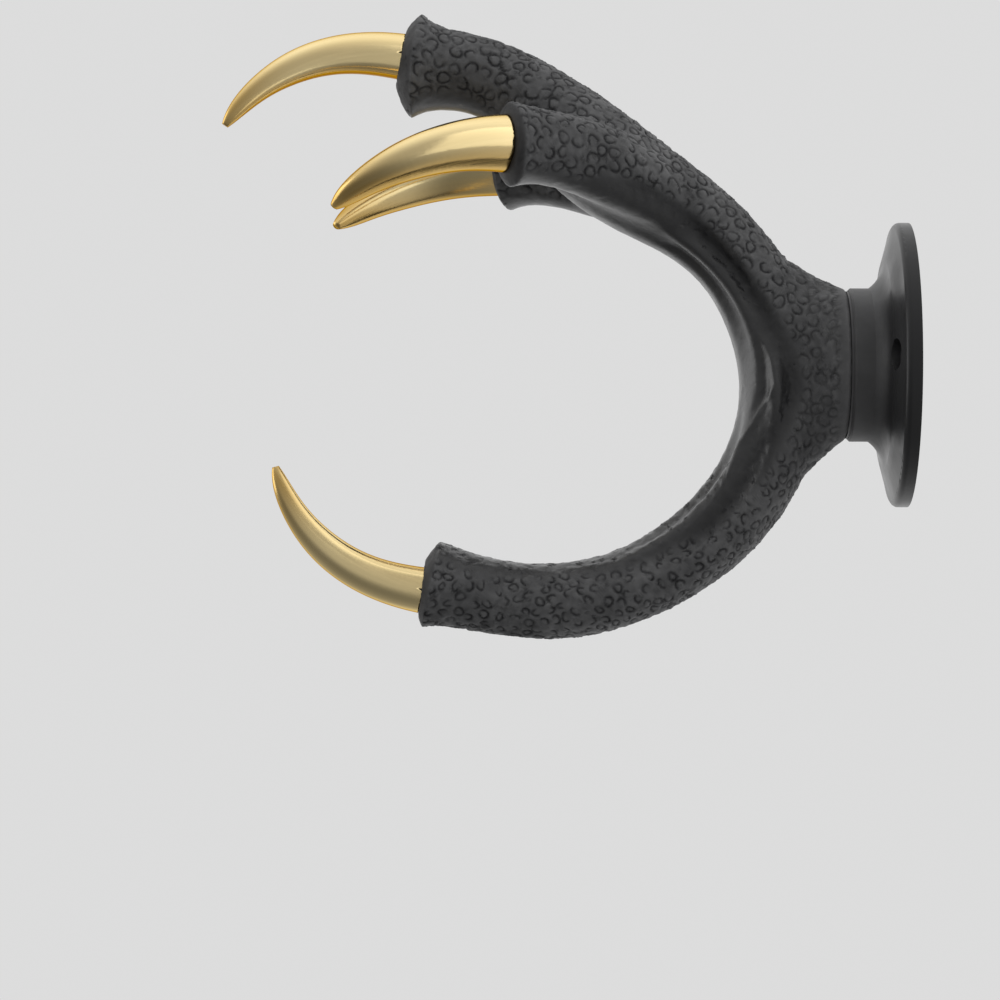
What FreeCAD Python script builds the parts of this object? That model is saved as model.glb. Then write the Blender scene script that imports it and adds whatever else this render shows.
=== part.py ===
import FreeCAD, Part
import math
import os
from FreeCAD import Vector

# A hanger in the form of a bird's claw. Sizes in millimetres, angles in degrees.
# The origin is the middle of the flange's back. Up is +Z and the hanger stands out along -Y.

# Flange and collar
FLANGE_DIAMETER = 101.6
RIM_THICKNESS = 5.7
RIM_EDGE_RADIUS = 2.5
FLARE_START_RADIUS = 38.0
FLARE_START_HEIGHT = 8.6
COLLAR_DIAMETER = 54.8
COLLAR_START = 14.0
COLLAR_LENGTH = 7.4
COLLAR_CHAMFER = 0.8
WRIST_GROOVE_WIDTH = 1.6
WRIST_GROOVE_DEPTH = 1.1
CORE_OVERLAP = 1.0
SCREW_SPACING = 78.0
SCREW_HOLE_DIAMETER = 5.6
SCREW_HEAD_DIAMETER = 11.0
COUNTERSINK_RAISE = 0.3
DRILL_OVERRUN = 1.0

# Centre line of the limb that runs from the middle toe round the throat to the thumb
THROAT_OUT = 120.0
THROAT_UP = -9.0
THROAT_RADIUS = 75.0
ARM_HEADING = 36.5
ARM_LENGTH = 70.0
KNUCKLE_RADIUS = 70.0
TOE_HEADING = 6.0
TOE_LENGTH = 9.0
THUMB_RADIUS = 230.0
THUMB_LENGTH = 50.0

# How far the limb stands out from its centre line: to its back, to its palm side and across
CROTCH_DORSAL = 14.8
CROTCH_PALMAR = 15.1
CROTCH_WIDTH = 42.0
ARM_DORSAL = 15.0
ARM_PALMAR = 15.8
ARM_WIDTH = 37.0
PALM_DORSAL = 16.0
PALM_PALMAR = 20.4
PALM_WIDTH = 46.0
TOE_THICKNESS = 28.0
TOE_WIDTH = 29.0
TOE_CUFF_THICKNESS = 37.6
TOE_CUFF_WIDTH = 34.0
THUMB_ROOT_DORSAL = 10.4
THUMB_ROOT_PALMAR = 17.3
THUMB_ROOT_WIDTH = 32.0
THUMB_THICKNESS = 27.0
THUMB_WIDTH = 28.0
THUMB_CUFF_THICKNESS = 31.0
THUMB_CUFF_WIDTH = 31.0
CUFF_LENGTH = 14.0

# How the limb swells, dips and narrows between those places
THUMB_SIDE_NARROWING = 4.0
THUMB_SIDE_BACK_DIP = 2.2
THUMB_SIDE_PALM_SWELL = 1.4
ARM_SIDE_NARROWING = 3.0
MID_ARM_WIDENING = 4.0
MID_ARM_BACK_SWELL = 0.6
MID_ARM_PALM_DIP = 1.3
ARM_END_WIDENING = 6.0
ARM_END_BACK_SWELL = 0.8
ARM_END_PALM_SWELL = 2.4
CUFF_START_PALM_SWELL = 0.4

# Creases on the palmar side of the limb: on each flank a lip, with a hollow on its palm side and a
# valley behind it. The lip's angle from the middle of the palm changes along the limb
LIP_HEIGHT = 0.9
LIP_SPREAD = 9.0
HOLLOW_DEPTH = 1.7
HOLLOW_SPREAD = 9.0
LIP_TO_HOLLOW = 17.0
VALLEY_DEPTH = 3.0
VALLEY_SPREAD = 12.0
LIP_TO_VALLEY = 24.0
THUMB_LIP = 42.0
THUMB_ROOT_LIP = 40.0
CROTCH_LIP = 76.0
ARM_SIDE_LIP = 51.0
ARM_LIP = 48.0
MID_ARM_LIP = 54.0
PALM_LIP = 60.0

# Wrist that joins the collar to the limb
WRIST_START_DIAMETER = 54.4
WRIST_END_UP = 39.6
WRIST_END_DOWN = 50.0
WRIST_END_WIDTH = 24.0
WRIST_FLARE = 1.25

# Side toes, which spread from the palm
SIDE_TOE_ROOT = 60.0
SIDE_TOE_ROOT_SIDE = 3.0
SIDE_TOE_ROOT_SIZE = 20.0
SIDE_TOE_LENGTH = 34.0
SIDE_TOE_OUT = 142.0
SIDE_TOE_UP = 74.5
SIDE_TOE_SIDE = 31.0
SIDE_TOE_SPLAY = 20.0
SIDE_TOE_DIP = 3.0
SIDE_TOE_ROLL = 52.0
SIDE_TOE_HEIGHT = 26.5
SIDE_TOE_WIDTH = 25.0
SIDE_CUFF_HEIGHT = 30.0
SIDE_CUFF_WIDTH = 30.0

# Talons and their sockets
TOE_DOME_RADIUS = 26.5
DOME_RIM = 0.5
TALON_HEIGHT = 16.4
TALON_WIDTH = 15.0
TALON_LEAD = 9.1
TALON_RISE = 2.8
SIDE_TALON_HEIGHT = 20.0
SIDE_TALON_WIDTH = 18.0
SIDE_TALON_LEAD = 4.4
SIDE_TALON_RISE = 1.0
TALON_RADIUS = 58.0
TALON_TURN = 64.0
TALON_TAPER = 0.45
TALON_SQUARENESS = 0.6
SEAT_DEPTH = 2.8
SOCKET_CLEARANCE = 0.4
SOCKET_FLARE = 1.2
TENON_DIAMETER = 8.0
TENON_LENGTH = 12.0
TENON_CLEARANCE = 0.1
TENON_ROOT = 2.0
BORE_END_ROOM = 1.0

SECTION_POINTS = 36
TALON_POINTS = 24


class Frame:
    """A place on a limb: where it is, which way it runs, and its dorsal and sideways directions."""

    def __init__(self, origin, along, dorsal):
        self.origin = origin
        self.along = along
        self.dorsal = dorsal
        across = along.cross(dorsal)
        self.side = across if across.x > 0 else -across

    def point(self, side, dorsal, along=0.0):
        return self.origin + self.side * side + self.dorsal * dorsal + self.along * along

    def turned_over(self):
        return Frame(self.origin, -self.along, self.dorsal)


def in_side_view(out, up, side=0.0):
    return Vector(side, -out, up)


def direction(heading):
    angle = math.radians(heading)
    return in_side_view(math.cos(angle), math.sin(angle))


def left_of(heading):
    return direction(heading + 90)


def arc_point(centre, radius, heading):
    return centre + left_of(heading) * radius


ARM_START = THROAT_RADIUS * math.radians(90 - ARM_HEADING)
ARM_END = ARM_START + ARM_LENGTH
KNUCKLE_END = ARM_END + KNUCKLE_RADIUS * math.radians(ARM_HEADING - TOE_HEADING)
TOE_END = KNUCKLE_END + TOE_LENGTH
THUMB_START = -THROAT_RADIUS * math.radians(90)
THUMB_END = THUMB_START - THUMB_LENGTH


def limb_frame(distance):
    """The place at a distance from the crotch, toward the middle toe (plus) or the thumb (minus)."""
    throat = in_side_view(THROAT_OUT, THROAT_UP)
    if distance < THUMB_START:
        heading = 180 + math.degrees((THUMB_START - distance) / THUMB_RADIUS)
        centre = throat + Vector(0, 0, THUMB_RADIUS - THROAT_RADIUS)
        origin = arc_point(centre, THUMB_RADIUS, heading)
    elif distance <= ARM_START:
        heading = 90 - math.degrees(distance / THROAT_RADIUS)
        origin = arc_point(throat, THROAT_RADIUS, heading)
    else:
        on_arm = min(distance, ARM_END) - ARM_START
        on_knuckle = min(max(distance - ARM_END, 0), KNUCKLE_END - ARM_END)
        on_toe = max(distance - KNUCKLE_END, 0)
        heading = ARM_HEADING - math.degrees(on_knuckle / KNUCKLE_RADIUS)
        arm_end = arc_point(throat, THROAT_RADIUS, ARM_HEADING) + direction(ARM_HEADING) * on_arm
        turn = left_of(heading) - left_of(ARM_HEADING)
        origin = arm_end + turn * KNUCKLE_RADIUS + direction(heading) * on_toe
    return Frame(origin, direction(heading), left_of(heading))


def section(frame, width, dorsal, palmar, crease=0.0, lip_angle=0.0):
    """A closed oval round a place on a limb, with a share of the creases on its palmar side."""
    points = []
    for i in range(SECTION_POINTS):
        turn = 2 * math.pi * i / SECTION_POINTS
        side = math.cos(turn) * width / 2
        height = math.sin(turn) * (dorsal if math.sin(turn) > 0 else palmar)
        off_palm = abs(math.degrees(math.atan2(math.cos(turn), -math.sin(turn))))
        bump = crease * creases(off_palm - lip_angle)
        points.append(frame.point(side + bump * math.cos(turn), height + bump * math.sin(turn)))
    return closed_curve(points)


def creases(off_lip):
    """How far the skin stands out at an angle from the lip, toward the back."""
    lip = LIP_HEIGHT * swell(off_lip, LIP_SPREAD)
    hollow = HOLLOW_DEPTH * swell(off_lip + LIP_TO_HOLLOW, HOLLOW_SPREAD)
    valley = VALLEY_DEPTH * swell(off_lip - LIP_TO_VALLEY, VALLEY_SPREAD)
    return lip - hollow - valley


def swell(angle, spread):
    return math.exp(-((angle / spread) ** 2))


def closed_curve(points):
    """A smooth loop with evenly spaced knots, so that all the loops of a loft share them."""
    curve = Part.BSplineCurve()
    curve.interpolate(Points=points, Parameters=list(range(len(points) + 1)), PeriodicFlag=True)
    return Part.Wire(curve.toShape())


def loft(wires):
    return Part.makeLoft(wires, True, False)


def limb():
    thumb = THUMB_THICKNESS / 2
    thumb_cuff = THUMB_CUFF_THICKNESS / 2
    toe = TOE_THICKNESS / 2
    cuff = TOE_CUFF_THICKNESS / 2
    knuckle = (ARM_END + KNUCKLE_END) / 2
    stations = [
        (THUMB_END, THUMB_CUFF_WIDTH, thumb_cuff, thumb_cuff),
        (THUMB_END + CUFF_LENGTH, THUMB_WIDTH, thumb, thumb),
        (THUMB_START, THUMB_WIDTH, thumb, thumb),
        (0.6 * THUMB_START, THUMB_ROOT_WIDTH, THUMB_ROOT_DORSAL, THUMB_ROOT_PALMAR, 0.8, THUMB_LIP),
        (0.3 * THUMB_START, CROTCH_WIDTH - THUMB_SIDE_NARROWING, CROTCH_DORSAL - THUMB_SIDE_BACK_DIP,
         CROTCH_PALMAR + THUMB_SIDE_PALM_SWELL, 1.0, THUMB_ROOT_LIP),
        (0.0, CROTCH_WIDTH, CROTCH_DORSAL, CROTCH_PALMAR, 1.0, CROTCH_LIP),
        (0.5 * ARM_START, CROTCH_WIDTH - ARM_SIDE_NARROWING, CROTCH_DORSAL, CROTCH_PALMAR,
         1.0, ARM_SIDE_LIP),
        (ARM_START, ARM_WIDTH, ARM_DORSAL, ARM_PALMAR, 1.0, ARM_LIP),
        (ARM_START + 0.3 * ARM_LENGTH, ARM_WIDTH + MID_ARM_WIDENING, ARM_DORSAL + MID_ARM_BACK_SWELL,
         PALM_PALMAR - MID_ARM_PALM_DIP, 1.0, MID_ARM_LIP),
        (ARM_START + 0.6 * ARM_LENGTH, PALM_WIDTH, PALM_DORSAL, PALM_PALMAR, 0.5, PALM_LIP),
        (ARM_END, TOE_WIDTH + ARM_END_WIDENING, toe + ARM_END_BACK_SWELL, toe + ARM_END_PALM_SWELL),
        (knuckle, TOE_WIDTH, toe, toe),
        (TOE_END - CUFF_LENGTH, TOE_WIDTH, toe, toe + CUFF_START_PALM_SWELL),
        (TOE_END, TOE_CUFF_WIDTH, cuff, cuff),
    ]
    return loft([section(limb_frame(distance), *sizes) for distance, *sizes in stations])


def wrist():
    start = COLLAR_START + COLLAR_LENGTH + WRIST_GROOVE_WIDTH
    end = THROAT_OUT - THROAT_RADIUS
    radius = WRIST_START_DIAMETER / 2
    wires = []
    for share in (0.0, 0.35, 0.7, 1.0):
        flare = share ** WRIST_FLARE
        up = radius + flare * (WRIST_END_UP - radius)
        down = radius + flare * (WRIST_END_DOWN - radius)
        width = WRIST_START_DIAMETER + share * (WRIST_END_WIDTH - WRIST_START_DIAMETER)
        frame = Frame(in_side_view(start + share * (end - start), 0), direction(0), left_of(0))
        wires.append(section(frame, width, up, down))
    return loft(wires)


def flange():
    rim = FLANGE_DIAMETER / 2
    collar = COLLAR_DIAMETER / 2
    collar_end = COLLAR_START + COLLAR_LENGTH
    core = collar - WRIST_GROOVE_DEPTH
    core_end = collar_end + WRIST_GROOVE_WIDTH + CORE_OVERLAP
    edge = RIM_EDGE_RADIUS * math.sqrt(0.5)
    edge_middle = (rim - RIM_EDGE_RADIUS + edge, RIM_THICKNESS - RIM_EDGE_RADIUS + edge)
    flare_rise = COLLAR_START - FLARE_START_HEIGHT
    flare_middle = (collar + 0.3 * (FLARE_START_RADIUS - collar), COLLAR_START - 0.6 * flare_rise)

    def at(radius, out):
        return in_side_view(out, radius)

    flare_start = at(FLARE_START_RADIUS, FLARE_START_HEIGHT)
    chamfer_start = at(collar, collar_end - COLLAR_CHAMFER)
    chamfer_end = at(collar - COLLAR_CHAMFER, collar_end)
    profile = [
        Part.makeLine(at(0, 0), at(rim, 0)),
        Part.makeLine(at(rim, 0), at(rim, RIM_THICKNESS - RIM_EDGE_RADIUS)),
        Part.Arc(at(rim, RIM_THICKNESS - RIM_EDGE_RADIUS), at(*edge_middle),
                 at(rim - RIM_EDGE_RADIUS, RIM_THICKNESS)).toShape(),
        Part.makeLine(at(rim - RIM_EDGE_RADIUS, RIM_THICKNESS), flare_start),
        Part.Arc(flare_start, at(*flare_middle), at(collar, COLLAR_START)).toShape(),
        Part.makeLine(at(collar, COLLAR_START), chamfer_start),
        Part.makeLine(chamfer_start, chamfer_end),
        Part.makeLine(chamfer_end, at(core, collar_end)),
        Part.makeLine(at(core, collar_end), at(core, core_end)),
        Part.makeLine(at(core, core_end), at(0, core_end)),
        Part.makeLine(at(0, core_end), at(0, 0)),
    ]
    return Part.Face(Part.Wire(profile)).revolve(Vector(), Vector(0, 1, 0), 360)


def screw_hole(side):
    hole = SCREW_HOLE_DIAMETER / 2
    head = SCREW_HEAD_DIAMETER / 2
    head_out = RIM_THICKNESS + COUNTERSINK_RAISE
    length = FLARE_START_HEIGHT + 2 * DRILL_OVERRUN
    outward = direction(0)
    shank = Part.makeCylinder(hole, length, in_side_view(-DRILL_OVERRUN, 0, side), outward)
    cone = Part.makeCone(hole, head, head - hole, in_side_view(head_out - head + hole, 0, side), outward)
    room = Part.makeCylinder(head, length, in_side_view(head_out, 0, side), outward)
    return shank.fuse([cone, room])


def side_toe_end(hand):
    splay = math.radians(SIDE_TOE_SPLAY)
    dip = math.radians(SIDE_TOE_DIP)
    level = in_side_view(math.cos(splay), 0, hand * math.sin(splay))
    up = Vector(0, 0, 1)
    along = level * math.cos(dip) - up * math.sin(dip)
    dorsal = up * math.cos(dip) + level * math.sin(dip)
    return Frame(in_side_view(SIDE_TOE_OUT, SIDE_TOE_UP, hand * SIDE_TOE_SIDE), along, dorsal)


def side_toe(hand):
    end = side_toe_end(hand)
    root = limb_frame(SIDE_TOE_ROOT).origin + Vector(hand * SIDE_TOE_ROOT_SIDE, 0, 0)
    bend = end.point(0, 0, -SIDE_TOE_LENGTH)
    stations = [
        (0.0, SIDE_TOE_ROOT_SIZE, SIDE_TOE_ROOT_SIZE),
        (0.25, (SIDE_TOE_ROOT_SIZE + SIDE_TOE_HEIGHT) / 2, (SIDE_TOE_ROOT_SIZE + SIDE_TOE_WIDTH) / 2),
        (0.5, SIDE_TOE_HEIGHT, SIDE_TOE_WIDTH),
        (0.82, SIDE_TOE_HEIGHT, SIDE_TOE_WIDTH),
        (1.0, SIDE_CUFF_HEIGHT, SIDE_CUFF_WIDTH),
    ]
    wires = []
    for share, height, width in stations:
        origin = root * (1 - share) ** 2 + bend * 2 * share * (1 - share) + end.origin * share ** 2
        along = ((bend - root) * (1 - share) + (end.origin - bend) * share).normalize()
        across = along.cross(end.dorsal).normalize()
        wires.append(section(Frame(origin, along, across.cross(along)), width, height / 2, height / 2))
    return loft(wires)


def dome_rise(half_height):
    return TOE_DOME_RADIUS - math.sqrt(TOE_DOME_RADIUS ** 2 - half_height ** 2)


def toe_dome(end, height, width):
    """The rounded end of a toe, cut from a ball to the outline of the cuff."""
    rise = dome_rise(height / 2)
    outline = Part.Face(section(end, width, height / 2, height / 2))
    ball = Part.makeSphere(TOE_DOME_RADIUS, end.point(0, 0, rise - TOE_DOME_RADIUS + DOME_RIM))
    return outline.extrude(end.along * 2 * rise).common(ball)


def seat_frame(end, cuff_height, rise, roll):
    """Where a talon's foot stands: in the dome, toward the toe's back, rolled about the toe."""
    turn = math.radians(roll)
    dorsal = end.dorsal * math.cos(turn) + end.side * math.sin(turn)
    ahead = dome_rise(cuff_height / 2) + DOME_RIM - SEAT_DEPTH
    return Frame(end.point(0, rise, ahead), end.along, dorsal)


def socket(seat, height, width):
    """The room that a talon's foot and tenon take out of a toe."""
    foot = math.hypot(height, width) / 2 * 0.5 ** (TALON_SQUARENESS / 2) + SOCKET_CLEARANCE
    bowl = Part.makeCone(foot, foot + SOCKET_FLARE, 3 * SEAT_DEPTH, seat.origin, seat.along)
    bore_radius = TENON_DIAMETER / 2 + TENON_CLEARANCE
    bore = Part.makeCylinder(bore_radius, TENON_LENGTH + BORE_END_ROOM, seat.origin, -seat.along)
    return bowl.fuse(bore)


def talon_section(frame, height, width):
    """A rounded back over flattened sides and a nearly flat underside."""
    points = []
    for i in range(TALON_POINTS):
        turn = 2 * math.pi * i / TALON_POINTS
        square = 1.0 if math.sin(turn) > 0 else TALON_SQUARENESS
        side = math.copysign(abs(math.cos(turn)) ** square, math.cos(turn)) * width / 2
        rise = math.copysign(abs(math.sin(turn)) ** square, math.sin(turn)) * height / 2
        points.append(frame.point(side, rise))
    return closed_curve(points)


def talon(seat, height, width, lead):
    length = lead + TALON_RADIUS * math.radians(TALON_TURN)
    wires = []
    for share in (0.0, 0.2, 0.4, 0.6, 0.8, 0.93, 0.985):
        distance = share * length
        bend = max(distance - lead, 0) / TALON_RADIUS
        ahead = min(distance, lead) + TALON_RADIUS * math.sin(bend)
        drop = TALON_RADIUS * (1 - math.cos(bend))
        along = seat.along * math.cos(bend) - seat.dorsal * math.sin(bend)
        dorsal = seat.dorsal * math.cos(bend) + seat.along * math.sin(bend)
        size = (1 - share) ** TALON_TAPER
        frame = Frame(seat.point(0, -drop, ahead), along, dorsal)
        wires.append(talon_section(frame, height * size, width * size))
    root = seat.point(0, 0, TENON_ROOT)
    tenon = Part.makeCylinder(TENON_DIAMETER / 2, TENON_LENGTH + TENON_ROOT, root, -seat.along)
    return loft(wires).fuse(tenon)


MIDDLE_CUFF = (TOE_CUFF_THICKNESS, TOE_CUFF_WIDTH)
SIDE_CUFF = (SIDE_CUFF_HEIGHT, SIDE_CUFF_WIDTH)
THUMB_CUFF = (THUMB_CUFF_THICKNESS, THUMB_CUFF_WIDTH)
TALON = (TALON_HEIGHT, TALON_WIDTH, TALON_LEAD)
SIDE_TALON = (SIDE_TALON_HEIGHT, SIDE_TALON_WIDTH, SIDE_TALON_LEAD)

TOES = {
    "middle_talon": (limb_frame(TOE_END), MIDDLE_CUFF, TALON, TALON_RISE, 0),
    "right_talon": (side_toe_end(1), SIDE_CUFF, SIDE_TALON, SIDE_TALON_RISE, SIDE_TOE_ROLL),
    "left_talon": (side_toe_end(-1), SIDE_CUFF, SIDE_TALON, SIDE_TALON_RISE, -SIDE_TOE_ROLL),
    "thumb_talon": (limb_frame(THUMB_END).turned_over(), THUMB_CUFF, TALON, TALON_RISE, 0),
}

os.makedirs("parts", exist_ok=True)

casting = flange().fuse([wrist(), limb(), side_toe(1), side_toe(-1)])
for node, (end, (cuff_height, cuff_width), (height, width, lead), rise, roll) in TOES.items():
    seat = seat_frame(end, cuff_height, rise, roll)
    casting = casting.fuse(toe_dome(end, cuff_height, cuff_width)).cut(socket(seat, height, width))
    talon(seat, height, width, lead).exportStep("parts/" + node + ".step")
casting = casting.cut([screw_hole(SCREW_SPACING / 2), screw_hole(-SCREW_SPACING / 2)]).removeSplitter()
print("claw_casting: solids", len(casting.Solids), "valid", casting.isValid())
print("claw_casting: volume in cm3", round(casting.Volume / 1000, 1))
casting.exportStep("parts/claw_casting.step")
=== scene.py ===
# %% [markdown]
# # A cast claw with gold talons
#
# The object is a cast claw on a round flange: a scaled black limb that forks into three toes and a
# thumb, with a polished gold-coloured talon let into the end of each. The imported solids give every
# place and size. This lesson dresses them: it cuts scales and creases into a copy of the casting,
# smooths the talons and gives both metals a finish with grain and wear.

import math

import bmesh
import bpy
import numpy as np
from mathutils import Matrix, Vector
from mathutils.kdtree import KDTree


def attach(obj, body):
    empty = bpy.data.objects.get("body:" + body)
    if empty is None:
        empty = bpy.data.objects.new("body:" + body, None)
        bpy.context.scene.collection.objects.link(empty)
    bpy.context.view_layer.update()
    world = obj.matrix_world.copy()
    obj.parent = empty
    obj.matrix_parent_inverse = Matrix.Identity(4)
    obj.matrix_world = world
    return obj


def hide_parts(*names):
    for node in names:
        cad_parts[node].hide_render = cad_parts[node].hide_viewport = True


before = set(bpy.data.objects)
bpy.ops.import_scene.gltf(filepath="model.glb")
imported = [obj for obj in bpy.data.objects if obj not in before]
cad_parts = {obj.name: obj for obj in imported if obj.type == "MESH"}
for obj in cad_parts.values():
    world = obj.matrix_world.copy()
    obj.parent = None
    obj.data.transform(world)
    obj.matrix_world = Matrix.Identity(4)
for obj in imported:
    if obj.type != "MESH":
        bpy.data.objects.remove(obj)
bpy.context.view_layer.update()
MM = 0.001
print("nodes:", ", ".join(sorted(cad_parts)))

# %% [markdown]
# ## Camera
#
# The claw is seen from its right side, from a little below and from well back, so that it looks
# nearly flat on. A long lens at a true distance gives the same small perspective as a real
# photograph, where a camera close by would make the near toe too large. The camera is turned to
# its aim instead of being shifted, so that other views stay centred.

# %% Place the camera
CAMERA_PLACE = Vector((1.6395, -0.1817, -0.1630))
CAMERA_AIM = Vector((0.0, -0.1455, -0.0485))
LENS_MM = 166.3
SENSOR_MM = 36.0

camera_data = bpy.data.cameras.new("long_lens")
camera_data.lens = LENS_MM
camera_data.sensor_width = SENSOR_MM
camera = bpy.data.objects.new("long_lens", camera_data)
camera.location = CAMERA_PLACE
camera.rotation_mode = "QUATERNION"
camera.rotation_quaternion = (CAMERA_AIM - CAMERA_PLACE).to_track_quat("-Z", "Y")
bpy.context.scene.collection.objects.link(camera)
bpy.context.scene.camera = camera
bpy.context.scene.view_settings.view_transform = "Standard"
print("camera distance in m:", round((CAMERA_AIM - CAMERA_PLACE).length, 3))

# %% [markdown]
# ## Studio
#
# A pale floor lies well below the claw, and the light is that of a white studio. Black paint and
# polished metal show mostly what they mirror, so a few small lamps would leave hard spots on them.
# Here the studio itself is the lamp: it is bright behind, above and beside the claw and dims evenly
# toward the near side. That draws a pale edge round the black limb and keeps its flank dark. A soft
# panel on the left sharpens the creases. A tall one on the near side shines on the talons alone, as
# polished metal is often lit apart from its dark mount.

# %% Make the floor
FLOOR_HEIGHT = -1.0
FLOOR_RADIUS = 12.0
FLOOR_SEGMENTS = 128
FLOOR_PALE = (0.62, 0.62, 0.62, 1.0)
FLOOR_CLOUDED = (0.5952, 0.5952, 0.5952, 1.0)
FLOOR_ROUGHNESS = 0.8
FLOOR_CLOUDS = 3.0


def new_finish(name):
    finish = bpy.data.materials.new(name)
    finish.use_nodes = True
    return finish, finish.node_tree, finish.node_tree.nodes["Principled BSDF"]


def as_piece(name, shape):
    """An object in the scene from a finished bmesh."""
    mesh = bpy.data.meshes.new(name)
    shape.to_mesh(mesh)
    shape.free()
    piece = bpy.data.objects.new(name, mesh)
    bpy.context.scene.collection.objects.link(piece)
    return piece


def coat(piece, finish):
    piece.data.materials.clear()
    piece.data.materials.append(finish)


def floor_finish():
    finish, tree, shader = new_finish("pale_floor")
    shader.inputs["Roughness"].default_value = FLOOR_ROUGHNESS
    cloud = tree.nodes.new("ShaderNodeTexNoise")
    cloud.inputs["Scale"].default_value = FLOOR_CLOUDS
    shades = tree.nodes.new("ShaderNodeValToRGB")
    shades.color_ramp.elements[0].color = FLOOR_CLOUDED
    shades.color_ramp.elements[1].color = FLOOR_PALE
    tree.links.new(cloud.outputs["Fac"], shades.inputs["Fac"])
    tree.links.new(shades.outputs["Color"], shader.inputs["Base Color"])
    return finish


def lay_floor():
    sheet = bmesh.new()
    bmesh.ops.create_circle(sheet, cap_ends=True, radius=FLOOR_RADIUS, segments=FLOOR_SEGMENTS)
    floor = as_piece("floor", sheet)
    floor.location.z = FLOOR_HEIGHT
    floor.visible_diffuse = False
    floor.visible_glossy = False
    coat(floor, floor_finish())


lay_floor()
print("floor at", FLOOR_HEIGHT, "m")

# %% Light the studio
BRIGHT_SIDE = Vector((-0.80, 0.25, 0.35))
BRIGHT_FADE = (-0.95, 0.35)
BRIGHT_LIGHT = 1.30
NEAR_LIGHT = 0.52
DARK_SIDE = Vector((0.15, -0.65, -0.75))
DARK_FADE = (0.35, 0.85)
DARK_SHARE = 0.4
BACKDROP = (0.72, 0.72, 0.72, 1.0)
WHITE = (1.0, 1.0, 1.0, 1.0)


def by_direction(tree, place, side, fade, low, high):
    """A light strength that goes from low to high as a direction turns toward a side."""
    toward = tree.nodes.new("ShaderNodeVectorMath")
    toward.operation = "DOT_PRODUCT"
    toward.inputs[1].default_value = side.normalized()
    tree.links.new(place.outputs["Generated"], toward.inputs[0])
    shades = tree.nodes.new("ShaderNodeMapRange")
    shades.interpolation_type = "SMOOTHSTEP"
    shades.inputs["From Min"].default_value = fade[0]
    shades.inputs["From Max"].default_value = fade[1]
    shades.inputs["To Min"].default_value = low
    shades.inputs["To Max"].default_value = high
    tree.links.new(toward.outputs["Value"], shades.inputs["Value"])
    return shades.outputs["Result"]


def arithmetic(tree, operation, first, second):
    node = tree.nodes.new("ShaderNodeMath")
    node.operation = operation
    tree.links.new(first, node.inputs[0])
    tree.links.new(second, node.inputs[1])
    return node.outputs["Value"]


def light_studio():
    world = bpy.data.worlds.new("white_studio")
    world.use_nodes = True
    tree = world.node_tree
    place = tree.nodes.new("ShaderNodeTexCoord")
    around = by_direction(tree, place, BRIGHT_SIDE, BRIGHT_FADE, NEAR_LIGHT, BRIGHT_LIGHT)
    below = by_direction(tree, place, DARK_SIDE, DARK_FADE, 1.0, DARK_SHARE)
    glow = tree.nodes["Background"]
    glow.inputs["Color"].default_value = WHITE
    tree.links.new(arithmetic(tree, "MULTIPLY", around, below), glow.inputs["Strength"])
    backdrop = tree.nodes.new("ShaderNodeBackground")
    backdrop.inputs["Color"].default_value = BACKDROP
    ray = tree.nodes.new("ShaderNodeLightPath")
    mix = tree.nodes.new("ShaderNodeMixShader")
    tree.links.new(ray.outputs["Is Camera Ray"], mix.inputs["Fac"])
    tree.links.new(glow.outputs["Background"], mix.inputs[1])
    tree.links.new(backdrop.outputs["Background"], mix.inputs[2])
    tree.links.new(mix.outputs["Shader"], tree.nodes["World Output"].inputs["Surface"])
    bpy.context.scene.world = world


light_studio()
print("studio light from", NEAR_LIGHT, "to", BRIGHT_LIGHT)

# %% Hang the soft panels
LIT_POINT = Vector((0.0, -0.16, 0.03))
LEFT_PLACE = Vector((-0.35, -1.5, 0.25))
LEFT_SIZE = (1.0, 1.0)
LEFT_WATTS = 4.5
NEAR_PLACE = Vector((1.55, 0.65, 0.20))
NEAR_SIZE = (1.8, 3.0)
NEAR_WATTS = 10.8


def hang_panel(name, place, size, watts):
    panel = bpy.data.lights.new(name, "AREA")
    panel.shape = "RECTANGLE"
    panel.size, panel.size_y = size
    panel.energy = watts
    lamp = bpy.data.objects.new(name, panel)
    lamp.location = place
    lamp.rotation_mode = "QUATERNION"
    lamp.rotation_quaternion = (LIT_POINT - place).to_track_quat("-Z", "Y")
    bpy.context.scene.collection.objects.link(lamp)
    return lamp


left_panel = hang_panel("left_panel", LEFT_PLACE, LEFT_SIZE, LEFT_WATTS)
near_panel = hang_panel("near_panel", NEAR_PLACE, NEAR_SIZE, NEAR_WATTS)
shiny_pieces = bpy.data.collections.new("lit_by_near_panel")
near_panel.light_linking.receiver_collection = shiny_pieces
print("panels:", left_panel.name, near_panel.name)

# %% [markdown]
# ## Satin black paint
#
# The casting is painted a satin black. Paint on a rough casting is never one grey: the scaled hide
# scatters light and looks matt and paler, the bare strips are smooth and mirror the studio, and the
# paint is rubbed on the ridges. The cuts, valleys, hollows and bare toe ends, and the flange's plate,
# get painted shade: their colour is mixed toward a near-black and their shine is dulled. The mesh
# carries three measures for this: how bare each point is, how much painted shade it gets from the
# cuts and hollows, and how far it stands out on a ridge. The nodes turn them into colour and gloss
# over a fine sandy grain from the mould. A few small functions make the nodes, so that each line of
# the paint reads as one step of mixing it.

# %% Make the mixing tools


def noise(tree, place, scale, detail, roughness):
    """A node that gives a cloudy 0 to 1 at each place."""
    node = tree.nodes.new("ShaderNodeTexNoise")
    node.inputs["Scale"].default_value = scale
    node.inputs["Detail"].default_value = detail
    node.inputs["Roughness"].default_value = roughness
    tree.links.new(place, node.inputs["Vector"])
    return node.outputs["Fac"]


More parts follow.
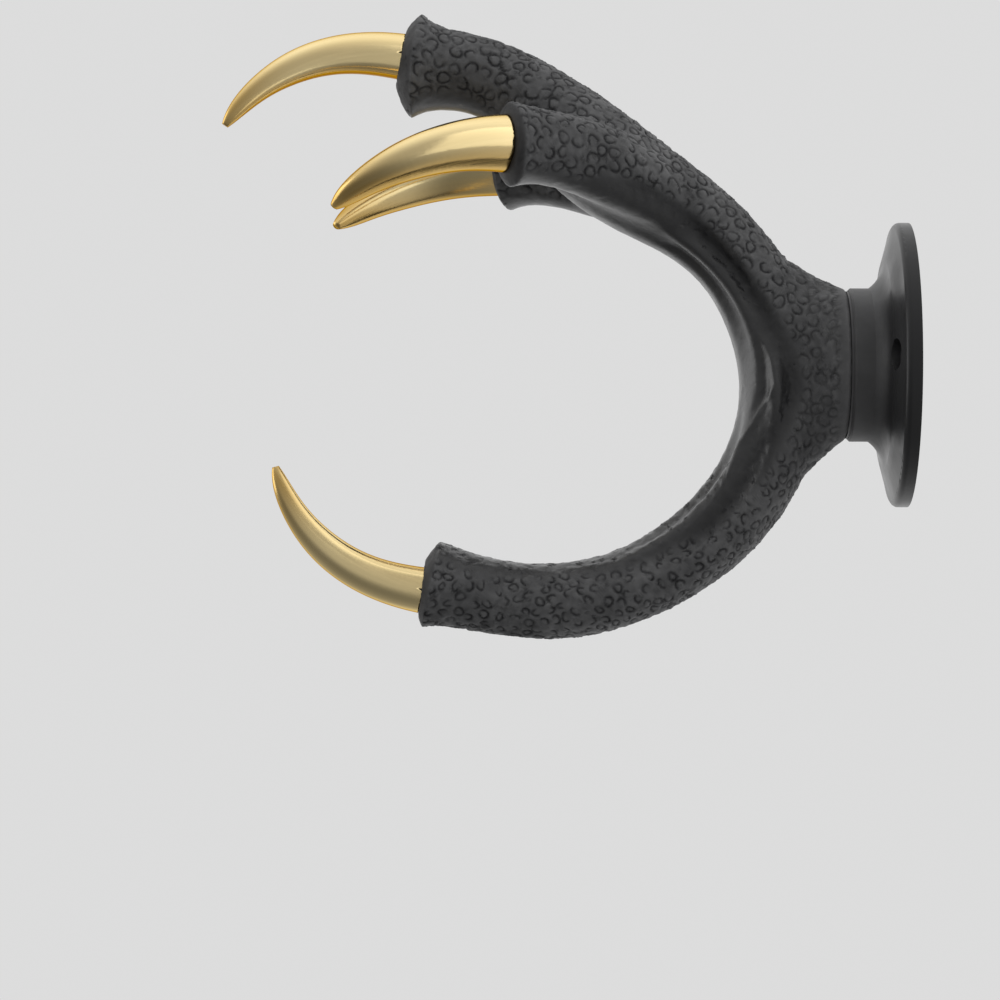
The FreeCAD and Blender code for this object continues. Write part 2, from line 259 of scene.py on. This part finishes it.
def ranged(tree, source, low, high, start=0.0, end=1.0):
    """A node that turns source's 0 to 1, or start to end, into low to high."""
    node = tree.nodes.new("ShaderNodeMapRange")
    node.inputs["From Min"].default_value = start
    node.inputs["From Max"].default_value = end
    node.inputs["To Min"].default_value = low
    node.inputs["To Max"].default_value = high
    tree.links.new(source, node.inputs["Value"])
    return node.outputs["Result"]


def blended(tree, share, first, second):
    """A node that mixes two colours, each a colour or another node's output."""
    node = tree.nodes.new("ShaderNodeMix")
    node.data_type = "RGBA"
    tree.links.new(share, node.inputs["Factor"])
    for socket, colour in ((node.inputs[6], first), (node.inputs[7], second)):
        if isinstance(colour, tuple):
            socket.default_value = colour
        else:
            tree.links.new(colour, socket)
    return node.outputs[2]


def between(tree, share, first, second):
    """A node that mixes two numbers by a share."""
    node = tree.nodes.new("ShaderNodeMix")
    tree.links.new(share, node.inputs["Factor"])
    tree.links.new(first, node.inputs["A"])
    tree.links.new(second, node.inputs["B"])
    return node.outputs["Result"]


def measure(tree, name, output="Fac"):
    """A node that reads a measure stored on the mesh."""
    node = tree.nodes.new("ShaderNodeAttribute")
    node.attribute_name = name
    return node.outputs[output]


def bumped(tree, height, strength, depth):
    """A node that tilts the light as a relief of that depth would."""
    node = tree.nodes.new("ShaderNodeBump")
    node.inputs["Strength"].default_value = strength
    node.inputs["Distance"].default_value = depth
    tree.links.new(height, node.inputs["Height"])
    return node


MIXING_TOOLS = (noise, ranged, blended, between, measure, bumped)
print("mixing tools:", ", ".join(tool.__name__ for tool in MIXING_TOOLS))

# %% Mix the black paint
PAINTED_SHADE_BLACK = (0.010, 0.010, 0.011, 1.0)
PAINT_SMOOTH = (0.026, 0.026, 0.027, 1.0)
PAINT_HIDE = (0.072, 0.072, 0.074, 1.0)
PAINT_RUBBED = (0.100, 0.100, 0.102, 1.0)
HIDE_ROUGHNESS = (0.60, 0.74)
BARE_ROUGHNESS = (0.34, 0.44)
HIDE_SHINE = 0.34
BARE_SHINE = 0.46
CUT_SHINE_SHARE = 0.15
PATCH_NOISE = (60.0, 4.0, 0.5)
PATCH_RANGE = (0.3, 0.7)
CLOUD_RANGE = (0.35, 0.7)
CLOUD_SHARE = 0.5
GRAIN_NOISE = (1400.0, 3.0, 0.6)
RIPPLE_NOISE = (260.0, 2.0, 0.5)
RIPPLE_TO_GRAIN = 4
GRAIN_STRENGTH = 0.35
CAST_GRAIN = 0.12 * MM
TURNED_GRAIN = 0.04 * MM


def black_paint(name, grain_depth):
    finish, tree, shader = new_finish(name)
    place = tree.nodes.new("ShaderNodeTexCoord").outputs["Object"]
    patches = noise(tree, place, *PATCH_NOISE)
    grain = noise(tree, place, *GRAIN_NOISE)
    ripple = noise(tree, place, *RIPPLE_NOISE)
    bare = measure(tree, "bare")
    depth = measure(tree, "cut")
    rubbed = blended(tree, measure(tree, "ridge"), PAINT_HIDE, PAINT_RUBBED)
    clouds = ranged(tree, patches, 0.0, CLOUD_SHARE, *CLOUD_RANGE)
    ground = blended(tree, bare, blended(tree, clouds, rubbed, PAINT_SMOOTH), PAINT_SMOOTH)
    # Painted shade: the cut measure mixes the colour toward a near-black in cuts, valleys, hollows, toe-end
    # domes and on the flange's plate.
    tree.links.new(blended(tree, depth, ground, PAINTED_SHADE_BLACK), shader.inputs["Base Color"])
    hide_gloss = ranged(tree, patches, *HIDE_ROUGHNESS, *PATCH_RANGE)
    bare_gloss = ranged(tree, patches, *BARE_ROUGHNESS, *PATCH_RANGE)
    tree.links.new(between(tree, bare, hide_gloss, bare_gloss), shader.inputs["Roughness"])
    shine = ranged(tree, bare, HIDE_SHINE, BARE_SHINE)
    dull = ranged(tree, depth, 1.0, CUT_SHINE_SHARE)
    tree.links.new(arithmetic(tree, "MULTIPLY", shine, dull), shader.inputs["Specular IOR Level"])
    fine = bumped(tree, grain, GRAIN_STRENGTH, grain_depth)
    broad = bumped(tree, ripple, GRAIN_STRENGTH, RIPPLE_TO_GRAIN * grain_depth)
    tree.links.new(fine.outputs["Normal"], broad.inputs["Normal"])
    tree.links.new(broad.outputs["Normal"], shader.inputs["Normal"])
    return finish


cast_paint = black_paint("satin_black_on_casting", CAST_GRAIN)
flange_paint = black_paint("satin_black_on_turned_flange", TURNED_GRAIN)
print("paints:", cast_paint.name, flange_paint.name)

# %% [markdown]
# ## Polished gold
#
# The talons are gold-coloured and polished along their length, which leaves faint lines that run
# from the foot to the tip. A texture stretched along one straight axis would leave the bend, so
# each talon's mesh carries a place measured along and round its own centre line, and the lines
# are a noise that is long in the first and fine in the second. The tone is painted deeper toward
# the tip and on the side that faces into the throat, as painted shade and painted reflection of the
# dark limb below it. It also deepens at the rim, as gold does when it is seen edge on.

# %% Mix the gold
GOLD_PALE = (0.80, 0.65, 0.35, 1.0)
GOLD_DEEP = (0.48, 0.32, 0.11, 1.0)
GOLD_EDGE = (0.42, 0.27, 0.11, 1.0)
GOLD_ROUGHNESS = (0.12, 0.26)
LINE_NOISE = (900.0, 4.0, 0.65)
LINE_RANGE = (0.3, 0.7)
LINE_STRENGTH = 0.25
LINE_DEPTH = 0.05 * MM
TARNISH_NOISE = (90.0, 3.0, 0.5)
TARNISH_RANGE = (0.35, 0.75)
TARNISH_SHARE = 0.3


def polished_gold():
    finish, tree, shader = new_finish("polished_gold")
    shader.inputs["Metallic"].default_value = 1.0
    shader.inputs["Specular Tint"].default_value = GOLD_EDGE
    place = measure(tree, "grain_place", "Vector")
    lines = noise(tree, place, *LINE_NOISE)
    clouds = noise(tree, place, *TARNISH_NOISE)
    tarnish = ranged(tree, clouds, 0.0, TARNISH_SHARE, *TARNISH_RANGE)
    # Random tarnish and the stored painted shade of the tip and underside both deepen the gold.
    painted_talon_shade = arithmetic(tree, "ADD", tarnish, measure(tree, "painted_talon_shade"))
    tree.links.new(blended(tree, painted_talon_shade, GOLD_PALE, GOLD_DEEP), shader.inputs["Base Color"])
    tree.links.new(ranged(tree, lines, *GOLD_ROUGHNESS, *LINE_RANGE), shader.inputs["Roughness"])
    bump = bumped(tree, lines, LINE_STRENGTH, LINE_DEPTH)
    tree.links.new(bump.outputs["Normal"], shader.inputs["Normal"])
    return finish


gold = polished_gold()
print("metal:", gold.name)

# %% [markdown]
# ## Splitting the casting at the wrist groove
#
# The flange and collar are turned smooth with crisp edges, and the limb is rough and sculpted.
# One remeshed skin for both would blunt the flange's edges, so a copy of the casting is cut in
# the groove between collar and wrist, where the joint can't be seen. The flange keeps the solid's
# own facets. The limb goes on to be carved.

# %% Cut the copy in two
GROOVE_CUT = -22.2 * MM
WELD = 1e-6
SHARP_EDGE = math.radians(20)
FLAT_BACK = 0.9999


def welded(node):
    """A copy of a solid's mesh as one closed net."""
    shape = bmesh.new()
    shape.from_mesh(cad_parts[node].data)
    bmesh.ops.remove_doubles(shape, verts=shape.verts, dist=WELD)
    return shape


def half_of_casting(name, keep_outer):
    """The casting's copy on one side of the groove, closed where it was cut."""
    shape = welded("claw_casting")
    bmesh.ops.bisect_plane(
        shape,
        geom=shape.verts[:] + shape.edges[:] + shape.faces[:],
        plane_co=(0, GROOVE_CUT, 0),
        plane_no=(0, 1, 0),
        clear_outer=keep_outer,
        clear_inner=not keep_outer,
    )
    rim = [edge for edge in shape.edges if edge.is_boundary]
    bmesh.ops.edgeloop_fill(shape, edges=rim)
    bmesh.ops.triangulate(shape, faces=shape.faces)
    shape.normal_update()
    for face in shape.faces:
        face.smooth = True
    for edge in shape.edges:
        on_back = {face.normal.y > FLAT_BACK for face in edge.link_faces}
        edge.smooth = edge.calc_face_angle(0.0) < SHARP_EDGE and len(on_back) == 1
    return as_piece(name, shape)


flange = half_of_casting("wall_flange", keep_outer=False)
limb = half_of_casting("scaled_limb", keep_outer=True)
coat(flange, flange_paint)
print("flange faces", len(flange.data.polygons), "limb faces", len(limb.data.polygons))

# %% [markdown]
# ## An even skin for carving
#
# The solid's facets are long and thin, and detail can't be pressed into them. A voxel remesh gives
# an even net of small squares, about half a millimetre wide, which is fine enough for scales that
# are about four millimetres across. The points are then held as arrays, because a few hundred
# thousand of them are moved at once.

# %% Remesh the limb
SKIN_STEP = 0.55 * MM
FILL_REFRESH = 20


def points_of(mesh):
    points = np.empty(len(mesh.vertices) * 3)
    mesh.vertices.foreach_get("co", points)
    return points.reshape(-1, 3)


def normals_of(mesh):
    normals = np.empty(len(mesh.vertices) * 3)
    mesh.vertex_normals.foreach_get("vector", normals)
    return normals.reshape(-1, 3)


class Skin:
    """The limb's points, edges and normals as arrays, and each point's place in millimetres."""

    def __init__(self, mesh):
        self.mesh = mesh
        self.points = points_of(mesh)
        ends = np.empty(len(mesh.edges) * 2, dtype=np.int64)
        mesh.edges.foreach_get("vertices", ends)
        self.ends = ends.reshape(-1, 2)
        self.neighbours = np.bincount(ends, minlength=len(self.points))
        self.refresh()

    def refresh(self):
        self.mesh.vertices.foreach_set("co", self.points.ravel())
        self.mesh.update()
        self.normals = normals_of(self.mesh)
        self.side = self.points[:, 0] / MM
        self.out = -self.points[:, 1] / MM
        self.up = self.points[:, 2] / MM

    def averaged(self, values):
        """Each point's mean of its neighbours' values."""
        first, second = self.ends.T
        total = np.bincount(first, values[second], len(values))
        total += np.bincount(second, values[first], len(values))
        return total / self.neighbours

    def smoothed(self, points):
        return np.stack([self.averaged(points[:, axis]) for axis in range(3)], axis=1)

    def relax(self, share, rounds):
        for _ in range(rounds):
            self.points += share[:, None] * (self.smoothed(self.points) - self.points)
        self.refresh()

    def fill(self, share, rounds):
        """Relaxes points outward only, which fills grooves and leaves what stands out."""
        for step in range(1, rounds + 1):
            moved = self.smoothed(self.points)
            rise = np.maximum(np.sum((moved - self.points) * self.normals, axis=1), 0.0)
            self.points += (share * rise)[:, None] * self.normals
            if step % FILL_REFRESH == 0:
                self.refresh()
        self.refresh()

    def press(self, depth):
        """Moves the points inward by depth, in millimetres."""
        self.points -= self.normals * (depth * MM)[:, None]
        self.refresh()


def baked(piece):
    """The piece with its modifiers turned into plain mesh."""
    graph = bpy.context.evaluated_depsgraph_get()
    piece.data = bpy.data.meshes.new_from_object(piece.evaluated_get(graph))
    piece.modifiers.clear()
    return piece.data


net = limb.modifiers.new("net", "REMESH")
net.mode = "VOXEL"
net.voxel_size = SKIN_STEP
skin = Skin(baked(limb))
print("skin points:", len(skin.points))

# %% [markdown]
# ## Melting the joints
#
# The solid joins the side toes and the wrist to the limb along hard lines. In the casting they
# flow into each other: a web fills the fork between the toes and the flank runs on without a
# seam. Averaging every point with its neighbours rounds a hard line, but it thins what stands out.
# Moving points outward only fills the grooves and leaves the rest. Both are kept to soft patches,
# which are found from a point's place, or from its depth behind the round throat and its angle
# round it. A pair of numbers below is the stretch, in millimetres or degrees, where a patch fades.

# %% Find each point's place round the throat
THROAT_OUT = 120.0
THROAT_UP = -9.0
THROAT_RADIUS = 59.5
PATCH_CORE = 0.5


def eased(values, start, end):
    """0 before start, 1 after end, and smooth between."""
    share = np.clip((values - start) / (end - start), 0.0, 1.0)
    return share * share * (3 - 2 * share)


def patch(side, out, up, reach):
    """1 near a place on either side of the limb, fading to 0 at reach."""
    away = np.sqrt((np.abs(skin.side) - side) ** 2 + (skin.out - out) ** 2 + (skin.up - up) ** 2)
    return 1 - eased(away, PATCH_CORE * reach, reach)


def round_throat():
    """Each point's depth behind the throat's edge, and its angle, 0 at the wrist and up the arm."""
    outward = THROAT_OUT - skin.out
    upward = skin.up - THROAT_UP
    return np.hypot(outward, upward) - THROAT_RADIUS, np.degrees(np.arctan2(upward, outward))


behind, turned = round_throat()
print("depth behind the throat up to", round(float(behind.max()), 1), "mm")

# %% Mark the joints
TOE_ROOT = (20, 92, 64, 28)
THUMB_STEP = (19, 52, -28, 16)
WEB_SIDE = 17
WEB_LINE = ((136, 90), (124, 87), (112, 82), (100, 77))
WEB_REACH = 17
UNDER_TOE_SIDE = 18
UNDER_TOE_LINE = ((112, 60), (98, 56), (84, 51))
UNDER_TOE_REACH = 13
FLANK_DEPTH = (11, 14)
FLANK_START = (5, 15)
FLANK_END = (75, 90)
THUMB_DEPTH = (5, 8)
THUMB_START = (3, 12)
THUMB_END = (40, 55)
WRIST_DEPTH = (12.5, 16)
WRIST_START = (27, 38)
WRIST_END = (52, 60)

toe_roots = patch(*TOE_ROOT)
thumb_step = patch(*THUMB_STEP)
toe_webs = np.max([patch(WEB_SIDE, out, up, WEB_REACH) for out, up in WEB_LINE], axis=0)
under_toes = np.max([patch(UNDER_TOE_SIDE, out, up, UNDER_TOE_REACH) for out, up in UNDER_TOE_LINE], axis=0)
arm_flank = eased(behind, *FLANK_DEPTH) * eased(turned, *FLANK_START) * (1 - eased(turned, *FLANK_END))
thumb_root = eased(behind, *THUMB_DEPTH) * eased(-turned, *THUMB_START) * (1 - eased(-turned, *THUMB_END))
wrist_joint = eased(skin.out, *WRIST_START) * (1 - eased(skin.out, *WRIST_END)) * eased(behind, *WRIST_DEPTH)
softened = np.clip(toe_roots + wrist_joint + thumb_step, 0.0, 1.0)
joints = np.clip(toe_roots + toe_webs + under_toes + arm_flank + thumb_root + wrist_joint, 0.0, 1.0)
print("points in joints:", int((joints > 0.5).sum()))

# %% Melt the joints and take the facets off the rest
SOFTEN_SHARE = 0.5
SOFTEN_ROUNDS = 60
FILL_SHARE = 0.9
FILL_ROUNDS = 160
SMOOTH_SHARE = 0.4
SMOOTH_ROUNDS = 4

before = skin.points.copy()
skin.relax(SOFTEN_SHARE * softened, SOFTEN_ROUNDS)
skin.fill(FILL_SHARE * joints, FILL_ROUNDS)
skin.relax(np.full(len(joints), SMOOTH_SHARE), SMOOTH_ROUNDS)
behind, turned = round_throat()
print("largest move in mm:", round(float(np.linalg.norm(skin.points - before, axis=1).max()) / MM, 2))

# %% [markdown]
# ## Where the hide is bare
#
# Scales cover the back and sides of the limb. The palm side is bare: a smooth strip runs along the
# throat, widest in the crotch between arm and thumb. The undersides and ends of the toes and the
# wrist's edge are bare too. A few widths at a few angles describe the strip, which is easier to
# adjust than a painted mask.

# %% Measure how bare each point is
STRIP_ANGLES = (-130, -117, -94, -53, -39, -19, 0, 10, 28, 46, 64, 82, 93, 110)
STRIP_DEPTHS = (18, 15, 7, 8, 12, 17, 22, 20, 15, 14, 15, 14, 10, 10)
STRIP_FADE = 2
SOLE_OUT = (104, 116)
SOLE_UP = (50, 62)
SOLE_FACING = (0.55, 0.85)
WRIST_EDGE = (24.5, 27.5)
THUMB_TURN = (-35, -12)

strip_edge = np.interp(turned, STRIP_ANGLES, STRIP_DEPTHS)
strip = 1 - eased(behind, strip_edge - STRIP_FADE, strip_edge + STRIP_FADE)
soles = eased(skin.out, *SOLE_OUT) * eased(skin.up, *SOLE_UP) * eased(-skin.normals[:, 2], *SOLE_FACING)
bare = np.maximum(strip, soles)
scaly = (1 - bare) * eased(skin.out, *WRIST_EDGE)
on_thumb = 1 - eased(turned, *THUMB_TURN)
print("scaly share:", round(float(scaly.mean()), 3))

# %% Find the bare toe ends
TALONS = ("middle_talon", "right_talon", "left_talon", "thumb_talon")
TENON_LENGTH = 12.0
TENON_REACH = 8.5
DOME_ALONG = (-9, -6)
DOME_AROUND = (21, 24)
DOME_FACING = (0.45, 0.8)
RIM_ALONG = (4, 6)
RIM_AROUND = (11, 13)
RIM_ROUNDS = 8


def talon_foot(node):
    """Where a talon leaves its toe, and which way: its tenon's end disc lies nearest the flange."""
    points = points_of(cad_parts[node].data) / MM
    tail = points[np.argmax(points[:, 1])]
    disc = points[np.linalg.norm(points - tail, axis=1) < TENON_REACH]
    centre = disc.mean(axis=0)
    axis = np.linalg.svd(disc - centre)[2][2]
    axis *= np.sign((points.mean(axis=0) - centre) @ axis)
    return centre + TENON_LENGTH * axis, axis


def toe_end(node):
    """1 on the smooth dome round a talon's foot, and 1 on the rim of the socket it stands in."""
    foot, axis = talon_foot(node)
    away = skin.points / MM - foot
    along = away @ axis
    around = np.linalg.norm(away - along[:, None] * axis, axis=1)
    dome = eased(along, *DOME_ALONG) * (1 - eased(around, *DOME_AROUND))
    rim = (1 - eased(np.abs(along), *RIM_ALONG)) * (1 - eased(around, *RIM_AROUND))
    return dome * eased(skin.normals @ axis, *DOME_FACING), rim


domes, rims = np.max([toe_end(node) for node in TALONS], axis=0)
scaly *= 1 - domes
bare *= 1 - domes
skin.relax(SOFTEN_SHARE * rims, RIM_ROUNDS)
print("points on bare toe ends:", int((domes > 0.5).sum()))

# %% [markdown]
# ## Creases on the palm side
#
# A valley runs along the strip on each flank and stays in shadow, and a crisp lip stands beside it
# from the crotch to the thumb. The solid has both as soft waves. Here they are pressed in as a
# finger presses clay: a line of depths round the throat, a width and a fade toward its ends.

# %% Press the creases
VALLEY_ANGLES = (-60, -39, -19, 0, 10, 28, 46, 64, 80)
VALLEY_LINE = (9.5, 9.5, 11, 18, 15.5, 10.5, 10.7, 13.6, 14)
VALLEY_WIDTH = 3.4
VALLEY_PRESS = 0.8
LIP_ANGLES = (-60, -39, -19, -8, 0, 8, 20)
LIP_LINE = (5.7, 4.7, 2.6, 7.0, 11.8, 11.0, 7.0)
LIP_WIDTH = 1.0
LIP_RISE = 0.6
CREASE_START = 15
CREASE_END = 10
CREASE_FACING = (0.2, 0.5)


def crease(angles, line, width):
    """1 along a line of depths behind the throat, on both flanks, fading to its ends."""
    off_line = behind - np.interp(turned, angles, line)
    first, last = angles[0], angles[-1]
    ends = eased(turned, first, first + CREASE_START) * (1 - eased(turned, last - CREASE_END, last))
    flank = eased(np.abs(skin.normals[:, 0]), *CREASE_FACING)
    return np.exp(-((off_line / width) ** 2)) * ends * flank


valley = crease(VALLEY_ANGLES, VALLEY_LINE, VALLEY_WIDTH)
skin.press(VALLEY_PRESS * valley)
skin.press(-LIP_RISE * crease(LIP_ANGLES, LIP_LINE, LIP_WIDTH))
print("points in the valley:", int((valley > 0.5).sum()))

# %% [markdown]
# ## Scales
#
# The hide is covered with rings about four millimetres across, cut a little under half a millimetre
# deep as if stamped one by one: many closed, some open on one side, never in rows. On the thumb they
# are smaller and run into wrinkles. The seeds are chosen at random, each at least a scale's width
# from the last ones, which gives an even scatter with no pattern. Low dents between them break up
# the smooth ground. Real geometry is worth its cost here, because the rings catch the light at the
# edges of the limb.

# %% Scatter the scales
SCALE_SPACING = 4.5
THUMB_SPACING = 3.9
SCALY_ENOUGH = 0.55
DRAW_SEED = 7
draw = np.random.default_rng(DRAW_SEED)


def scattered(candidates, spacing):
    """Points picked at random, none nearer to another than the spacing."""
    kept = []
    cells = {}
    places = skin.points / MM
    around = [(i, j, k) for i in (-1, 0, 1) for j in (-1, 0, 1) for k in (-1, 0, 1)]
    for index in draw.permutation(candidates):
        place = places[index]
        cell = tuple((place // spacing).astype(int))
        rivals = (r for a, b, c in around for r in cells.get((cell[0] + a, cell[1] + b, cell[2] + c), ()))
        if all(np.sum((place - places[rival]) ** 2) > spacing ** 2 for rival in rivals):
            cells.setdefault(cell, []).append(index)
            kept.append(index)
    return kept


hide = scaly > SCALY_ENOUGH
seeds = scattered(np.flatnonzero(hide & (on_thumb < 0.5)), SCALE_SPACING)
seeds += scattered(np.flatnonzero(hide & (on_thumb >= 0.5)), THUMB_SPACING)
print("scales:", len(seeds))

# %% Cut the scales
RING_RADIUS = (1.7, 2.3)
RING_LINE = 0.44
RING_DEPTH = 0.44
RING_REACH = 1.9
RING_STRETCH = 1.15
THUMB_STRETCH = 0.5
THUMB_SHRINK = 0.2
OVAL_WOBBLE = 0.08
CORNER_WOBBLE = 0.06
WOBBLE_PHASE = 6
RING_CLOSED = (0.5, 2.3)
RING_OPEN = 1.5
FAINTEST = 0.1
RING_STRENGTH = (0.7, 1.0)
WRIST_STRENGTH = 0.5
WRIST_FADE = (30, 50)
ASKEW = (0.3, 0.5, 0.81)


def point_tree(points):
    tree = KDTree(len(points))
    for index, place in enumerate(points):
        tree.insert(place, index)
    tree.balance()
    return tree


def flat_places(seed, near, turn):
    """Where the points near a seed lie on the skin's plane there, turned by an angle."""
    normal = skin.normals[seed]
    first = np.cross(normal, ASKEW)
    first /= np.linalg.norm(first)
    second = np.cross(normal, first)
    away = (skin.points[near] - skin.points[seed]) / MM
    across = away @ (math.cos(turn) * first + math.sin(turn) * second)
    along = away @ (math.cos(turn) * second - math.sin(turn) * first)
    return across, along


def wobble(angle):
    """How far a ring strays from a circle at an angle, as a share of its radius."""
    oval = OVAL_WOBBLE * np.cos(2 * angle + draw.uniform(0, WOBBLE_PHASE))
    return oval + CORNER_WOBBLE * np.cos(3 * angle + draw.uniform(0, WOBBLE_PHASE))


def ring_cut(seed, tree):
    """The points near a seed and how deep its ring cuts into them, as a share."""
    radius = draw.uniform(*RING_RADIUS) * (1 - THUMB_SHRINK * on_thumb[seed])
    stretch = draw.uniform(1.0, RING_STRETCH + THUMB_STRETCH * on_thumb[seed])
    near = [index for _, index, _ in tree.find_range(skin.points[seed], RING_REACH * radius * MM)]
    across, along = flat_places(seed, near, draw.uniform(0, math.pi))
    angle = np.arctan2(along, across * stretch)
    off_line = np.hypot(across * stretch, along) - radius * (1 + wobble(angle))
    ring = np.exp(-((off_line / RING_LINE) ** 2))
    opening = draw.uniform(0, 2 * math.pi)
    drawn = np.clip(draw.uniform(*RING_CLOSED) + RING_OPEN * np.cos(angle - opening), FAINTEST, 1.0)
    return near, ring * drawn * draw.uniform(*RING_STRENGTH)


cut = np.zeros(len(skin.points))
tree = point_tree(skin.points)
for seed in seeds:
    near, ring = ring_cut(seed, tree)
    cut[near] = np.maximum(cut[near], ring)
cut *= scaly * (WRIST_STRENGTH + (1 - WRIST_STRENGTH) * eased(skin.out, *WRIST_FADE))
skin.press(RING_DEPTH * cut)
print("deepest cut share:", round(float(cut.max()), 2))

# %% Dent the ground between the scales
DENT_DEPTH = 0.16
DENT_ROUNDS = 6
BARE_DENTS = 0.25
DOME_DENTS = 0.3
THUMB_DENTS = 0.8


def rough_ground(rounds):
    """Random numbers blended with their neighbours, as wide as the rounds are many."""
    field = draw.standard_normal(len(skin.points))
    for _ in range(rounds):
        field = skin.averaged(field)
    return field / field.std()


off_domes = 1 - domes
dented = np.max([scaly * off_domes, DOME_DENTS * domes, valley, THUMB_DENTS * on_thumb * off_domes], axis=0)
skin.press(DENT_DEPTH * rough_ground(DENT_ROUNDS) * (BARE_DENTS + (1 - BARE_DENTS) * dented))
print("dents of about", DENT_DEPTH, "mm")

# %% [markdown]
# ## Finishing the limb
#
# The paint needs three measures on the mesh: how bare it is, the painted shade, and the ridges,
# where it is rubbed. The painted shade darkens and dulls the paint in the ring cuts, along the
# valleys, in the broad hollows and on the bare toe ends. A ridge stands out from the mean of its
# neighbours and a hollow lies below the mean of wider surroundings. The even net is then thinned
# where it is nearly flat, which keeps the rings sharp at a fair number of triangles.

# %% Store the paint's measures and thin the mesh
RIDGE_HEIGHT = 0.12
RIDGE_ROUNDS = 6
HOLLOW_DEPTH = 1.4
HOLLOW_ROUNDS = 110
HIDE_EVENNESS = 0.8
VALLEY_PAINTED_SHADE = 0.45
HOLLOW_PAINTED_SHADE = 0.5
DOME_PAINTED_SHADE = 0.5
SKIN_TRIANGLES = 190000


def stand_out(rounds):
    """How far each point stands out from its smoothed surroundings, in millimetres."""
    smooth = skin.points.copy()
    for _ in range(rounds):
        smooth = skin.smoothed(smooth)
    return np.sum((skin.points - smooth) * skin.normals, axis=1) / MM


def store(mesh, name, values):
    layer = mesh.attributes.new(name, "FLOAT", "POINT")
    layer.data.foreach_set("value", values.astype(np.float32))


ridge = np.clip(stand_out(RIDGE_ROUNDS) / RIDGE_HEIGHT, 0.0, 1.0)
hollow = np.clip(-stand_out(HOLLOW_ROUNDS) / HOLLOW_DEPTH, 0.0, 1.0) * (1 - HIDE_EVENNESS * scaly)
# Painted shade: ring cuts, valleys, broad hollows and toe-end domes are darkened and dulled through the cut
# measure.
painted_shade_on_limb = np.max([cut, VALLEY_PAINTED_SHADE * valley, HOLLOW_PAINTED_SHADE * hollow, DOME_PAINTED_SHADE * domes], axis=0)
store(skin.mesh, "cut", np.clip(painted_shade_on_limb, 0.0, 1.0))
store(skin.mesh, "ridge", ridge)
store(skin.mesh, "bare", bare)
thin = limb.modifiers.new("thin", "DECIMATE")
thin.ratio = min(1.0, SKIN_TRIANGLES / (2 * len(skin.mesh.polygons)))
baked(limb).shade_smooth()
coat(limb, cast_paint)
print("limb faces:", len(limb.data.polygons))

# %% Put the limb and flange in the frame
COLLAR_RADIUS = 28.0
PLATE_RADIUS = 34.0
COLLAR_BARE = 0.3
PLATE_PAINTED_SHADE = 0.55


def on_plate(mesh):
    """1 on the flange's plate, which is glossy and darkened as painted shade, and 0 on the duller collar."""
    across, _, up = points_of(mesh).T / MM
    return eased(np.hypot(across, up), COLLAR_RADIUS, PLATE_RADIUS)


plate = on_plate(flange.data)
store(flange.data, "bare", COLLAR_BARE + (1 - COLLAR_BARE) * plate)
# Painted shade: the flange's plate is darkened through the cut measure.
store(flange.data, "cut", PLATE_PAINTED_SHADE * plate)
for piece in (limb, flange):
    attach(piece, "root")
    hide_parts("claw_casting")
print("casting dressed as", limb.name, "and", flange.name)

# %% [markdown]
# ## Talons
#
# The solid talons have the right form, so each piece is a smooth copy. What a copy adds is its
# place along and round the centre line, for the polishing lines, and its painted shade toward the
# tip and underside. The centre line of a gently bent horn is close to a parabola on its own longest
# axis, which a least-squares fit finds.

# %% Dress the talons
LINE_STRETCH = 0.05
TALON_GIRTH = 8.0
TALON_EDGE = math.radians(32)
UNDERSIDE = np.array((0.0, 0.4, -1.0))
UNDERSIDE_FACING = (0.3, 0.9)
UNDERSIDE_PAINTED_SHADE = 0.85
TIP_REACH = (0.5, 1.0)
TIP_PAINTED_SHADE = 0.8


def grain_place(points):
    """Each point's place along the talon, shortened, and round it, as a point on a cylinder."""
    spread = points - points.mean(axis=0)
    axes = np.linalg.svd(spread, full_matrices=False)[2]
    along, bend, across = (spread @ axis for axis in axes)
    bend = bend - np.polyval(np.polyfit(along, bend, 2), along)
    across = across - np.polyval(np.polyfit(along, across, 2), along)
    angle = np.arctan2(across, bend)
    places = [LINE_STRETCH * along, TALON_GIRTH * np.cos(angle), TALON_GIRTH * np.sin(angle)]
    return np.stack(places, axis=1) * MM


def painted_talon_shade_share(points, normals, node):
    """Painted shade and painted reflection: more toward the tip and on the side that faces into the throat.
    """
    reach = np.linalg.norm(points - talon_foot(node)[0], axis=1)
    inward = UNDERSIDE * (1 if node != "thumb_talon" else -1)
    under = eased(normals @ (inward / np.linalg.norm(inward)), *UNDERSIDE_FACING)
    return TIP_PAINTED_SHADE * eased(reach / reach.max(), *TIP_REACH) + UNDERSIDE_PAINTED_SHADE * under


def dress_talon(node):
    talon = as_piece("polished_" + node, welded(node))
    mesh = talon.data
    points = points_of(mesh) / MM
    painted_talon_shade = painted_talon_shade_share(points, normals_of(mesh), node)
    layer = mesh.attributes.new("grain_place", "FLOAT_VECTOR", "POINT")
    layer.data.foreach_set("vector", grain_place(points).astype(np.float32).ravel())
    # The stored measure is painted shade and painted reflection toward the tip and underside.
    store(mesh, "painted_talon_shade", painted_talon_shade)
    mesh.set_sharp_from_angle(angle=TALON_EDGE)
    coat(talon, gold)
    shiny_pieces.objects.link(talon)
    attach(talon, "root")
    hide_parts(node)
    return talon


talons = [dress_talon(node) for node in TALONS]
print("talons:", ", ".join(talon.name for talon in talons))
